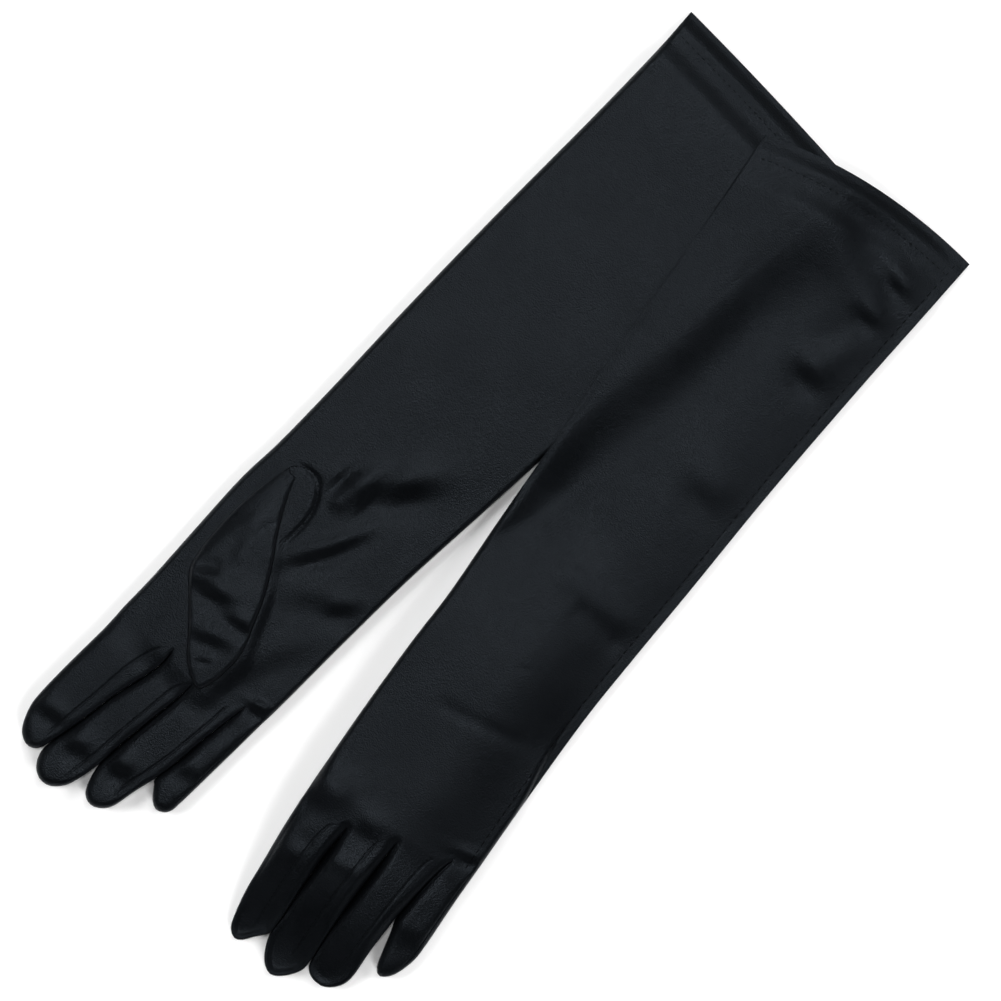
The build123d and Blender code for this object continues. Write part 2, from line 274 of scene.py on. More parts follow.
def slope(centre, angle, width, length, steepness):
    """A patch that falls away towards angle (degrees in the plan), as one side of a soft buckle."""
    turn = math.radians(angle)
    fall = np.array([math.cos(turn), math.sin(turn)])
    side = np.array([-fall[1], fall[0]])

    def add(p):
        x = (p - centre) @ fall
        y = (p - centre) @ side
        return -steepness * x * np.exp(-0.5 * (x / width) ** 2 - 0.5 * (y / length) ** 2)

    return add


RIGHT_FOLDS = [
    # the furrow of the palm seam, and the buckles beyond it towards the wrist
    ridge(PALM_SEAM, 0.75, -1.1),
    ridge([(-5.0, 96.0), (-5.0, 108.0), (-5.5, 122.0)], 2.6, 0.9),
    slope((2.0, 116.0), 10, 4.0, 9.0, 0.42),
    slope((13.0, 126.0), -35, 6.4, 12.0, 0.4),
    slope((-13.0, 110.0), 0, 2.6, 5.0, 0.3),
    # the creases of the palm beside the thumb
    slope((5.0, 78.0), -30, 3.6, 10.0, 0.42),
    slope((12.5, 94.0), -20, 3.0, 8.0, 0.3),
    slope((31.0, 68.0), -40, 4.5, 6.0, 0.3),
    slope((18.0, 62.0), -40, 5.0, 8.0, 0.12),
    slope((27.0, 34.0), -30, 6.0, 10.0, 0.1),
    # one crease near each fingertip, index finger first
    slope((-30.5, -59.0), -80, 3.6, 5.4, 0.4),
    slope((-10.9, -61.7), -70, 4.0, 4.6, 0.4),
    slope((10.1, -55.0), -70, 4.4, 4.0, 0.46),
    slope((31.8, -34.5), -70, 4.2, 4.2, 0.26),
    # broad slopes along the fingers and the side of the hand
    slope((-33.0, -20.0), 185, 5.0, 18.0, 0.08),
    slope((-5.0, -42.0), -150, 5.0, 10.0, 0.08),
    slope((-33.0, 20.0), 200, 5.0, 14.0, 0.06),
    # the palm at the roots of the ring and little fingers
    slope((20.0, 15.0), -20, 5.0, 9.0, 0.12),
    slope((35.5, 8.0), -80, 2.4, 5.0, 0.4),
    ridge([(31.0, 8.5), (36.0, 12.0), (40.0, 12.5)], 1.1, 0.5),
]
LEFT_FOLDS = [
    # the buckles along the seam side of the sleeve, from the cuff down
    slope((41.6, 336.0), -110, 3.4, 5.4, 0.42),
    slope((39.0, 316.5), -105, 3.8, 5.4, 0.42),
    slope((32.4, 279.0), -105, 5.4, 6.6, 0.38),
    slope((25.4, 207.5), -115, 7.0, 8.0, 0.17),
    # broad slopes of the sleeve
    slope((20.0, 336.0), 60, 8.0, 16.0, 0.2),
    slope((-14.0, 262.0), -6, 13.0, 42.0, 0.13),
    slope((-34.0, 166.0), -4, 9.0, 22.0, 0.14),
    slope((34.0, 298.0), 150, 6.0, 8.0, 0.12),
    # folds across the wrist and the back of the hand
    ridge([(-14.0, 143.0), (15.0, 139.0), (42.0, 137.0)], 4.6, 0.7),
    ridge([(4.0, 130.0), (24.0, 129.5), (40.0, 128.0)], 4.0, -0.5),
    ridge([(-22.0, 58.0), (4.0, 62.0), (36.0, 68.0)], 2.6, -0.4),
    ridge([(2.0, 93.0), (9.0, 95.0)], 1.2, -0.2),
    # the knuckles and the first joints of the fingers
    slope((-37.0, -8.0), -120, 8.0, 8.0, 0.42),
    slope((-9.0, -8.0), -90, 5.6, 5.6, 0.3),
    slope((-38.5, -19.0), 190, 4.0, 9.0, 0.22),
    slope((-31.2, -31.0), 95, 4.4, 3.6, 0.24),
    slope((-9.1, -23.0), 95, 3.4, 5.5, 0.22),
    # the fingers fall away towards their tips
    slope((-33.0, -54.0), -95, 25.0, 12.0, 0.12),
    slope((-8.0, -56.0), -95, 25.0, 10.0, 0.14),
    slope((15.0, -62.0), -95, 22.0, 9.0, 0.13),
    slope((37.0, -36.0), -70, 5.0, 5.0, 0.2),
    # the root of the little finger
    slope((36.0, 9.0), -80, 2.4, 6.0, 0.4),
]
THUMB_FOLDS = [
    # the buckles across the lower half of the thumb
    ridge([(-33.0, 30.0), (-27.0, 34.0), (-16.0, 41.5)], 2.0, 0.7),
    ridge([(-33.0, 37.0), (-28.0, 40.0), (-22.0, 45.0)], 2.0, -0.35),
    slope((-15.5, 32.5), -75, 3.8, 7.4, 0.46),
    slope((1.5, 30.5), -75, 3.2, 5.4, 0.5),
    slope((-2.5, 16.5), -68, 3.2, 6.4, 0.4),
    ridge([(-8.0, 24.0), (-1.0, 25.0), (6.0, 29.0)], 2.2, 0.5),
    # the long folds of its upper half
    slope((-30.5, 66.0), 175, 2.6, 13.0, 0.2),
    slope((-21.0, 74.0), -20, 2.4, 9.0, 0.16),
    ridge([(-26.0, 72.0), (-22.0, 60.0), (-17.0, 48.0)], 2.4, 0.5),
    # a small dent at its tip
    slope((2.2, 8.0), -60, 1.3, 2.2, 0.5),
]


def ripple(p):
    """Faint, broad waviness of cloth that lies on its own."""
    u, v = p.T
    waves = np.sin(u / 9.0 + v / 16.0)
    waves = waves + np.sin(v / 10.5 - u / 15.0 + 1.3)
    waves = waves + np.sin(v / 23.0 + u / 12.0 + 4.0)
    waves = waves + np.sin(u / 6.5 - v / 19.0 + 2.2) * np.sin(v / 31.0)
    return 0.055 * waves


def under_thumb(p):
    """The palm is raised where the folded thumb lies and falls away beyond the thumb's folded edge."""
    u, v = p.T
    edge = crossing(spline(THUMB["right"][::-1]), v)
    width = 6.5 + 3.0 * smooth((40 - v) / 40)
    lower_at_root = 1 - 0.45 * smooth((v - 42) / 16)
    rise = 1.7 * lower_at_root * smooth((edge + width - u) / width) * smooth((u + 34) / 20)
    return rise * smooth((v + 14) / 12) * smooth((84 - v) / 22)


# ---- a glove's place and height -------------------------------------------------------------------
class Flap:
    """A finger or the thumb in the plan: two edge lines from its root to its tip."""

    def __init__(self, left, right, base, tip):
        self.left, self.right, self.base = left, right, base
        self.reach = np.linalg.norm(tip - base)
        self.axis = (tip - base) / self.reach
        self.left_far = self.progress(left)
        self.right_far = self.progress(right)

    def progress(self, line):
        """How far along the flap's axis each point of a line is, kept from going back."""
        far = (line - self.base) @ self.axis
        return np.maximum.accumulate(far + np.arange(len(far)) * 1e-6)

    def sides(self, distance):
        """Points of the two edge lines at distances along the axis."""
        left = point_at(distance, self.left_far, self.left)
        right = point_at(distance, self.right_far, self.right)
        return left, right

    def row(self, share, across):
        """A row of points across the flap, a share of the way from its root to its tip."""
        start = self.left_far[0] + (self.right_far[0] - self.left_far[0]) * across
        left, right = self.sides(start + (self.reach - start) * share)
        return left + (right - left) * across[:, None]


def row_shares(rows, turn, stretch, last):
    """Where a flap's rows lie from root to tip: even up to turn, then closer and closer together."""
    x = np.linspace(0, 1, rows + 1)
    crowded = 1 - (1 - np.clip((x - turn) / (1 - turn), 0, 1)) ** 1.9
    return np.where(x < turn, x * stretch, turn * stretch + (last - turn * stretch) * crowded)


class Glove:
    """A glove's plan, its place in the pair, and the height of its cloth over the plan."""

    def __init__(self, plan, folds):
        self.plan, self.folds = plan, folds
        self.name, self.palm_up = plan["name"], plan["palm_up"]
        turn = -math.radians(plan["lean"])
        self.across = np.array([math.cos(turn), math.sin(turn)])
        self.along = np.array([-math.sin(turn), math.cos(turn)])
        joint = "right_thumb_fold" if self.palm_up else "left_thumb_swing"
        slot = np.array(JOINTS[joint]["pos_m"][:2]) / MM
        self.origin = slot - SLOT_MIDDLE[0] * self.across - SLOT_MIDDLE[1] * self.along
        self.fold, self.seam = spline(plan["fold"]), spline(plan["seam"])
        edges = [(line, [(EDGE_RIM, EDGE_RADIUS)] * len(line)) for line in (self.fold, self.seam)]
        self.flaps = {}
        for number, name in enumerate(FINGERS):
            flap = self.finger(number)
            self.flaps[name] = flap
            edges.append((flap.left, self.finger_edge(flap.left, "left", number)))
            edges.append((flap.right, self.finger_edge(flap.right, "right", number)))
        self.starts, self.ends, self.rims = segments(edges)
        # which of the segments belong to the arm and to each finger, each of which has two lines
        counts = np.cumsum([0] + [len(line) - 1 for line, _ in edges])[::2]
        self.parts = {name: slice(*counts[i : i + 2]) for i, name in enumerate(("arm", *FINGERS))}

    def finger(self, number):
        """One finger's flap, with a hair's gap from its neighbours."""
        creases = self.plan["creases"]
        first, second, tip = self.plan["tips"][FINGERS[number]]
        gap = np.array([FINGER_GAP, 0.0])
        left = spline([*(np.array(creases[number]) + gap), *first, tip], after=second[-1])
        right = spline([*(np.array(creases[number + 1]) - gap), *second, tip], after=first[-1])
        return Flap(left, right, (left[0] + right[0]) / 2, np.array(tip))

    def finger_edge(self, line, side, number):
        """Rim and radius at the points of a finger's edge line. They change at the crotch and at the tip."""
        far = lengths_along(line)
        at_crotch = np.exp(-far / 5.0)
        before_tip = smooth((far[-1] - far - 4) / 14)
        outside = (number == 0 and side == "left") or (number == 3 and side == "right")
        if outside:
            rim = np.full(len(far), EDGE_RIM)
            radius = EDGE_RADIUS + 3.4 * smooth(far / 14)
        elif side == "left":
            rim = EDGE_RIM + 0.35 * at_crotch
            radius = 3.4 + 2.6 * before_tip * smooth(far / 10)
        else:
            rim = EDGE_RIM + 0.24 * before_tip + 0.12 * at_crotch
            radius = 3.8 - 1.4 * before_tip
        return list(zip(rim, radius))

    def in_pair(self, p):
        """Plan points in the pair's frame, in millimetres."""
        return self.origin + p[:, :1] * self.across + p[:, 1:] * self.along

    def place(self, p, z):
        """Plan points and heights, in the pair's frame, in metres."""
        return np.column_stack([self.in_pair(p), z]) * MM

    def cuff_at(self, share):
        """The v of the cuff's bowed edge, a share of the way from the fold to the seam."""
        fold, seam = self.fold[-1], self.seam[-1]
        return fold[1] + (seam[1] - fold[1]) * share + self.plan["cuff_bow"] * 4 * share * (1 - share)

    def cuff_edge(self, u):
        """The v of the cuff's edge at each u."""
        fold, seam = self.fold[-1], self.seam[-1]
        return self.cuff_at(np.clip((u - fold[0]) / (seam[0] - fold[0]), 0, 1))

    def loft(self, p):
        """How thick the empty glove lies: the hand and the cuff stand a little higher than the arm."""
        u, v = p.T
        hand = 0.9 * smooth(-(v + 4) / 16) + 0.4 * smooth((80 - v) / 90)
        loft = ARM_LOFT + hand + 0.7 * smooth((v - 290) / 50)
        if self.palm_up:
            # the left sleeve presses this side flat
            covered = np.clip(0.157 * (v - 176.0), 1.0, 26.0)
            inside = crossing(self.seam, v) - u
            pressed = smooth(covered / 20.0) * (1 - np.clip(inside / covered, 0, 1)) ** 2
            return loft * (1 - 0.3 * pressed)
        # the sleeve thins out towards its folded edge, and the fingers towards their tips
        thin = smooth((v - 140) / 30) * (1 - 0.35 * smooth((v - 290) / 60))
        loft *= 1 - 0.86 * thin * smooth(1 - (u - crossing(self.fold, v)) / 62.0)
        return loft - 2.4 * np.clip(-(v + 26) / 62, 0, 1)

    def floor(self, p):
        """Height of the glove's underside over the table."""
        if self.palm_up:
            return np.full(len(p), TABLE_GAP)
        return TABLE_GAP + np.maximum(self.over_right_glove(p), self.over_thumb(p))

    def over_thumb(self, p):
        """How far the left hand is raised by its own thumb, which lies under it."""
        u, v = p.T
        return 4.8 * np.clip((v + 78.0) / 78.0, 0, 1) * smooth((165.0 - v) / 90.0) * smooth((46.0 - u) / 46.0)

    def over_right_glove(self, p):
        """How far the left sleeve is raised where it lies on the right one and falls away beside it."""
        v = p[:, 1]
        right = RIGHT_GLOVE
        way = self.in_pair(p) - right.origin
        there = np.column_stack([way @ right.across, way @ right.along])
        edge = crossing(right.seam, there[:, 1])
        inside = edge - there[:, 0]
        fall = 25.0 + 0.06 * np.clip(v - 160.0, 0.0, 200.0)
        near = (v > 100) & (inside > -fall)
        height = np.zeros(len(p))
        if near.any():
            under_u = np.minimum(there[:, 0], edge - RESTING_EDGE)
            under_v = np.minimum(there[:, 1], CUFF_END)
            level = right.heights(np.column_stack([under_u, under_v])[near], drooping=False)[0] + 0.3
            hanging = np.clip((RESTING_EDGE - inside) / fall, 0, 1) ** 0.75
            height[near] = level * smooth(1 - hanging)[near]
        return height

    def left_profile(self, p, gap, rim, radius):
        """The left arm's edges: a flat allowance and a slow rise at the seam, a tight turn at the fold."""
        u, v = p.T
        allowance = 4.4 * smooth((v - 40) / 40) * (u > 0)
        rim = rim - 0.12 * (allowance > 0)
        sleeve_fold = smooth((v - 150) / 20) * (u < 0)
        radius = radius - 1.5 * sleeve_fold
        rim = rim + 0.3 * sleeve_fold
        rounded = swell((gap - allowance) / radius)
        slim = smooth((v - 50) / 40) * (u > 0)
        tapered = 1 - (1 - np.clip((gap - allowance) / 34.0, 0, 1)) ** 1.3
        return rim + 0.2 * slim, rounded + (tapered - rounded) * slim

    def heights(self, p, drooping=True, part=None):
        """Top and underside of the cloth at plan points, rounded towards the outline, or one part of it."""
        v = p[:, 1]
        with_hand = v.min() < ARM_ONLY
        if part is None:
            chosen = slice(None) if with_hand else self.parts["arm"]
        else:
            chosen = self.parts[part]
        gap, edge = nearest(p, self.starts[chosen], self.ends[chosen], self.rims[chosen])
        rim, radius = edge.T
        high, low = self.loft(p), self.floor(p)
        if self.palm_up:
            rounded = swell(gap / radius)
        else:
            rim, rounded = self.left_profile(p, gap, rim, radius)
        crown = (0.5 * smooth(gap / 30.0) + ripple(p) * smooth(gap / 14.0)) * smooth((v + 10) / 30)
        top = low + high * (rim + (1 - rim) * rounded) + crown
        for add in self.folds:
            top += add(p) * smooth(gap / 4.0)
        if self.palm_up and with_hand:
            top += under_thumb(p)
        bottom = low + high * (rim - RIM_STEP) * (1 - rounded)
        if drooping:
            kept = self.hem_droop(p)
            top = low + (top - low) * kept
            bottom = low + (bottom - low) * kept
        return np.maximum(top, bottom + LEAST_LOFT), bottom

    def cover(self, p):
        """Height of the outside of the cloth on the upper side."""
        return self.heights(p)[0]

    def underside(self, p):
        """Height of the outside of the cloth on the side that lies down."""
        return self.heights(p)[1]

    def hem_droop(self, p):
        """Share of its loft that the cloth keeps: it droops in two steps at the cuff, with a sewn furrow."""
        back = self.cuff_edge(p[:, 0]) - p[:, 1]
        kept = 1 - 0.42 * smooth((26.0 - back) / 12.0) - 0.37 * smooth((8.4 - back) / 7.2)
        return kept - 0.015 * np.exp(-0.5 * ((back - HEM_ROW) / 0.8) ** 2)


# ---- meshes ----------------------------------------------------------------------------------------
def strip(first, second):
    """Faces between two rows of vertex numbers."""
    return np.column_stack([first[:-1], first[1:], second[1:], second[:-1]])


def sheet(grid):
    """Faces between all the rows of a grid of vertex numbers."""
    return np.vstack([strip(one, two) for one, two in zip(grid, grid[1:])])


def true_faces(quads):
    """Faces without points that repeat, and without faces that have shrunk to a line."""
    faces = [[v for i, v in enumerate(quad) if v != quad[i - 1]] for quad in quads]
    return [face for face in faces if len(face) > 2]


def vertex_normals(points, quads, shared=()):
    """Normals at the points. Each shared pair of rows is one row of points with two sets of numbers."""
    normals = np.zeros_like(points)
    a, b, c, d = (points[quads[:, i]] for i in range(4))
    face = np.cross(c - a, d - b)
    for i in range(4):
        np.add.at(normals, quads[:, i], face)
    for one, two in shared:
        total = normals[one] + normals[two]
        normals[one], normals[two] = total, total
    return unit(normals)


def add_piece(name, mesh, material, loop_normals=None):
    """Puts a mesh in the scene, smoothly shaded."""
    mesh.polygons.foreach_set("use_smooth", [True] * len(mesh.polygons))
    if loop_normals is not None:
        mesh.normals_split_custom_set(loop_normals)
    mesh.materials.append(material)
    piece = bpy.data.objects.new(name, mesh)
    bpy.context.scene.collection.objects.link(piece)
    return piece


def open_rims(faces):
    """The sides of faces that no other face shares, in the direction their own face runs."""
    sides = {}
    for face in faces:
        for a, b in zip(face, face[1:] + face[:1]):
            if a != b:
                sides[(a, b)] = True
    return [(a, b) for a, b in sides if (b, a) not in sides]


def shell(name, points, normals, quads, thickness=CLOTH):
    """A piece of satin: the given faces, the same faces one thickness deeper, and the rims between."""
    used = np.unique(quads)
    renumber = np.full(len(points), -1)
    renumber[used] = np.arange(len(used))
    faces = renumber[quads].tolist()
    outside, normal = points[used], normals[used]
    count = len(used)
    rims = open_rims(faces)
    outer = true_faces(faces)
    inner = [[v + count for v in reversed(face)] for face in outer]
    bands = [[b, a, a + count, b + count] for a, b in rims]
    inside = outside - normal * thickness * MM
    mesh = bpy.data.meshes.new(name)
    mesh.from_pydata(np.vstack([outside, inside]).tolist(), [], outer + inner + bands)
    both = np.vstack([normal, -normal])
    loop_normals = [tuple(both[v]) for face in outer + inner for v in face]
    for a, b in rims:
        out = np.cross(outside[b] - outside[a], normal[a])
        loop_normals += [tuple(out / max(np.linalg.norm(out), TINY))] * 4
    return add_piece(name, mesh, SATIN, loop_normals)


# ---- the hand and arm, the stalls and the fourchettes ---------------------------------------------
def outer_shares(glove, finger, shares):
    """How far across a finger its outer sewn line is, at each of its rows."""
    drawn = glove.plan["outer"].get(finger)
    if not drawn:
        return np.full(len(shares), OUTER_SHARE)
    flap = glove.flaps[finger]
    far = shares * flap.reach
    seam = spline(drawn)
    left, right = flap.sides(far)
    on_seam = point_at(far, flap.progress(seam), seam)
    chord = right - left
    across = ((on_seam - left) * chord).sum(1) / np.maximum((chord**2).sum(1), 1e-6)
    return np.clip(across, 0.5, 0.965)


def finger_grid(glove, finger):
    """Rows of plan points from a finger's root to its tip. Its two sewn lines fall on fixed columns."""
    shares = row_shares(FINGER_ROWS, turn=0.75, stretch=1.06, last=0.9995)
    shares[-1] = 0.9992
    rows = []
    for share, outer in zip(shares, outer_shares(glove, finger, shares)):
        across = np.concatenate([
            INNER_SHARE * eased(INNER_COLUMNS)[:-1],
            INNER_SHARE + (outer - INNER_SHARE) * eased(PANEL_COLUMNS)[:-1],
            outer + (1 - outer) * eased(OUTER_COLUMNS),
        ])
        rows.append(glove.flaps[finger].row(share, across))
    return np.array(rows)


def arm_grid(glove, knuckles):
    """Rows of plan points from the knuckle line to the cuff, in columns that go on from the fingers'."""
    start = knuckles[:, 1]
    left, right = crossing(glove.fold, start), crossing(glove.seam, start)
    across = np.clip((knuckles[:, 0] - left) / (right - left), 0, 1)
    across[0], across[-1] = 0.0, 1.0
    end = glove.cuff_at(across)
    hand, arm, cuff = np.arange(0, 112, 0.9), np.arange(112, 350, 2.0), np.linspace(350, ARM_LENGTH, 33)
    rows = []
    for far in np.concatenate([hand, arm, cuff]):
        v = start + (end - start) * (far / ARM_LENGTH)
        left, right = crossing(glove.fold, v), crossing(glove.seam, v)
        u = left + (right - left) * across
        # the columns start where the fingers' columns are, and are in line with the arm 12 mm further on
        u = knuckles[:, 0] + (u - knuckles[:, 0]) * smooth(far / 12)
        rows.append(np.column_stack([u, v]))
    return np.array(rows)


def seam_tuck(rows):
    """Cloth dips where it is sewn, along the two seams of each finger."""
    row = np.arange(rows)
    fade = smooth(row / 3.0) * smooth((FOURCHETTE_ROWS + 2 - row) / 6.0)
    tuck = np.zeros((rows, FINGER_COLUMNS + 1))
    tuck[:, INNER_COLUMNS] = 0.3 * fade
    tuck[:, OUTER_START] = 0.45 * fade
    return tuck.reshape(-1)


def glove_points(glove, grids):
    """Points of a whole glove, and for each grid the numbers of its upper and of its lower points."""
    points, tops, bottoms, count = [], {}, {}, 0
    for name, grid in grids.items():
        flat = grid.reshape(-1, 2)
        if name == "arm":
            top, bottom = glove.heights(flat)
        else:
            top, bottom = glove.heights(flat, part=name)
            top = top - seam_tuck(len(grid))
        points += [glove.place(flat, top), glove.place(flat, bottom)]
        tops[name] = count + np.arange(len(flat)).reshape(grid.shape[:2])
        bottoms[name] = tops[name] + len(flat)
        count += 2 * len(flat)
    return np.vstack(points), tops, bottoms


def finger_faces(top, bottom, number):
    """Faces of one finger, sorted into its stall and its inner and outer fourchettes."""
    loops = np.hstack([top, bottom[:, ::-1]])
    width = loops.shape[1]
    sets = {"stall": [], "inner": [], "outer": []}
    for k in range(len(top) - 1):
        for j in range(width):
            beside = (j + 1) % width
            quad = (loops[k, j], loops[k + 1, j], loops[k + 1, beside], loops[k, beside])
            across = min(j, 2 * FINGER_COLUMNS - j)
            if k < FOURCHETTE_ROWS and across < INNER_COLUMNS and number > 0:
                sets["inner"].append(quad)
            elif k < FOURCHETTE_ROWS and across >= OUTER_START and number < len(FINGERS) - 1:
                sets["outer"].append(quad)
            else:
                sets["stall"].append(quad)
    for j in range(FINGER_COLUMNS):
        sets["stall"].append((top[-1, j], bottom[-1, j], bottom[-1, j + 1], top[-1, j + 1]))
    return {key: np.array(faces) for key, faces in sets.items() if faces}


def cloth_of_hand(glove):
    """Makes the trank, the stalls and the fourchettes from one set of points, so that they meet."""
    fingers = {name: finger_grid(glove, name) for name in FINGERS}
    knuckles = np.vstack([grid[0] for grid in fingers.values()])
    points, tops, bottoms = glove_points(glove, {"arm": arm_grid(glove, knuckles), **fingers})

    # the fingers' first rows and the arm's first row are the same points
    shared = []
    for number, finger in enumerate(FINGERS):
        span = slice(number * (FINGER_COLUMNS + 1), (number + 1) * (FINGER_COLUMNS + 1))
        shared += [(grid["arm"][0, span], grid[finger][0]) for grid in (tops, bottoms)]
    for arm_row, finger_row in shared:
        points[arm_row] = points[finger_row]

    top, bottom = tops["arm"], bottoms["arm"]
    sides = [strip(bottom[:, 0], top[:, 0])[:, ::-1], strip(top[:, -1], bottom[:, -1])[:, ::-1]]
    arm = np.vstack([sheet(top), sheet(bottom)[:, ::-1], *sides])
    sets = {name: finger_faces(tops[name], bottoms[name], i) for i, name in enumerate(FINGERS)}
    every = np.vstack([arm, *(faces for parts in sets.values() for faces in parts.values())])
    normals = vertex_normals(points, every, shared)

    name = glove.name
    trank = shell(f"{name}_glove_cloth", points, normals, arm)
    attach(trank, f"{name}_glove")
    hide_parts(f"{name}_trank")
    for finger, parts in sets.items():
        for key, faces in parts.items():
            label = "stall" if key == "stall" else f"{key}_fourchette"
            node = "stall" if key == "stall" else f"fourchette_{key}"
            piece = shell(f"{name}_{finger}_{label}_cloth", points, normals, faces)
            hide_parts(f"{name}_{finger}_{node}")
            bend(glove, piece, finger)


def bend(glove, piece, finger):
    """Bakes a finger's cloth into place. Its knuckle joint is looked up, but the cloth is not bent across it.
    """
    joint = JOINTS[f"{glove.name}_{finger}_fold"]
    pos, axis = Vector(joint["pos_m"]), Vector(joint["axis"])
    along = Vector((0, 0, 1)).cross(axis)
    if along.dot(Vector((0, -1, 0))) < 0:
        along = -along
    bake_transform(piece)


# ---- the thumb and the hem -------------------------------------------------------------------------
def thumb_piece(glove):
    """The thumb: a flat empty tube folded over the palm, or lying under it."""
    left = spline([*THUMB["left"], THUMB["tip"]], after=THUMB["right"][-1])
    right = spline([*THUMB["right"], THUMB["tip"]], after=THUMB["left"][-1])
    flap = Flap(left, right, (left[0] + right[0]) / 2, np.array(THUMB["tip"]))
    shares = row_shares(THUMB_ROWS, turn=0.8, stretch=1.08, last=0.9995)
    grid = np.array([flap.row(share, eased(THUMB_COLUMNS)) for share in shares])
    flat = grid.reshape(-1, 2)

    softer_above_tip = 2.0 + 3.6 * smooth((left[:, 1] - 34) / 12)
    # each edge's rim and radius
    edges = [
        (left, [(0.4, radius) for radius in softer_above_tip]),
        (right, [(0.55, 2.3)] * len(right)),
    ]
    gap, edge = nearest(flat, *segments(edges))
    rim, radius = edge.T
    rounded = swell(gap / radius)
    low = glove.cover(flat) + 0.25 if glove.palm_up else np.full(len(flat), 0.1)
    flatter_at_root = 0.35 + 0.65 * smooth((98 - flat[:, 1]) / 26)
    high = (4.2 if glove.palm_up else 2.6) * flatter_at_root
    top = low + high * (rim + (1 - rim) * rounded)
    if glove.palm_up:
        for add in THUMB_FOLDS:
            top += add(flat) * smooth(gap / 2.0)
    bottom = low + high * (rim - RIM_STEP) * (1 - rounded)
    top = np.maximum(top, bottom + 0.35)

    points = np.vstack([glove.place(flat, top), glove.place(flat, bottom)])
    upper = np.arange(len(flat)).reshape(grid.shape[:2])
    lower = upper + len(flat)
    loops = np.hstack([upper, lower[:, ::-1], upper[:, :1]])
    ends = [strip(upper[-1], lower[-1])[:, ::-1], strip(upper[0], lower[0])]
    faces = np.vstack([*(strip(two, one) for one, two in zip(loops, loops[1:])), *ends])
    piece = shell(f"{glove.name}_thumb_cloth", points, vertex_normals(points, faces), faces)
    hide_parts(f"{glove.name}_thumb")
    body = f"{glove.name}_thumb_body"
    if glove.palm_up:
        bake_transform(piece)
    else:
        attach(piece, body)


def hem_piece(glove):
    """The turned-in end of the cloth: a flat band all round the inside of the mouth."""
    first, last = glove.fold[-1, 0], glove.seam[-1, 0]
    u = first + 2.2 + (last - first - 4.4) * eased(HEM_COLUMNS)
    rows = []
    for back in np.linspace(0.15, HEM_DEPTH, HEM_ROWS):
        flat = np.column_stack([u, glove.cuff_edge(u) - back])
        top, bottom = glove.heights(flat)
        middle = (top + bottom) / 2
        top = np.maximum(top - CLOTH - 0.05, middle + 0.04)
        bottom = np.minimum(bottom + CLOTH + 0.05, middle - 0.04)
        rows += [glove.place(flat, top), glove.place(flat, bottom)[::-1]]
    points = np.vstack(rows)
    loops = np.arange(len(points)).reshape(HEM_ROWS, -1)
    loops = np.hstack([loops, loops[:, :1]])
    faces = np.vstack([strip(one, two)[:, ::-1] for one, two in zip(loops, loops[1:])])
    normals = vertex_normals(points, faces)
    piece = shell(f"{glove.name}_cuff_hem_cloth", points, normals, faces, thickness=HEM_CLOTH)
    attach(piece, f"{glove.name}_glove")
    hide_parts(f"{glove.name}_cuff_hem")


# ---- the threads -----------------------------------------------------------------------------------
def thread_mesh(name, centres, ways, ups, length, width):
    """Short rounded stitches: each is a bent bar with its two ends sunk in the cloth."""
    # along a stitch: where each ring of points is, how wide it is, and how far it stands up
    stations = np.array([-0.5, -0.36, 0.0, 0.36, 0.5])
    bulge = np.array([0.45, 0.85, 1.0, 0.85, 0.45])
    rise = np.array([-0.9, -0.15, 0.25, -0.15, -0.9])
    sides = 6
    ring = np.radians(np.arange(0, 360, 360 // sides))
    points, faces = [], []
    for centre, way, up in zip(centres, ways, ups):
        side = np.cross(up, way)
        first = len(points)
        for at, size, height in zip(stations, bulge, rise):
            middle = centre + way * (at * length) + up * (height * width)
            for a in ring:
                out = side * math.cos(a) + up * math.sin(a) * 0.7
                points.append(middle + out * width * 0.5 * size)
        last = len(points) - sides
        for start in range(first, last, sides):
            for i in range(sides):
                a, b = start + i, start + (i + 1) % sides
                faces.append((a, b, b + sides, a + sides))
        faces.append(tuple(first + i for i in reversed(range(sides))))
        faces.append(tuple(last + i for i in range(sides)))
    mesh = bpy.data.meshes.new(name)
    mesh.from_pydata(np.array(points).tolist(), [], faces)
    return add_piece(name, mesh, THREAD)


def sew(glove, seam, paths, height, stitch, facing=1.0):
    """Stitches along plan lines. height gives the cloth's outside, and facing is -1 on the underside."""
    length, pitch, width = stitch
    centres, ways, ups = [], [], []
    for path in paths:
        line = spline(path, 0.5)
        far = lengths_along(line)
        at = np.arange(pitch / 2, far[-1], pitch)
        here = point_at(at, far, line)
        ahead, behind = point_at(at + 0.4, far, line), point_at(at - 0.4, far, line)
        step = ahead - behind
        side = 0.3 * unit(np.column_stack([-step[:, 1], step[:, 0]]))
        way = unit(glove.place(ahead, height(ahead)) - glove.place(behind, height(behind)))
        one, other = here + side, here - side
        beside = glove.place(one, height(one)) - glove.place(other, height(other))
        centres += list(glove.place(here, height(here)))
        ways += list(way)
        ups += list(unit(np.cross(way, beside) * facing))
    piece = thread_mesh(f"{glove.name}_{seam}_threads", centres, ways, ups, length * MM, width * MM)
    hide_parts(f"{glove.name}_{seam}_stitches")
    return piece


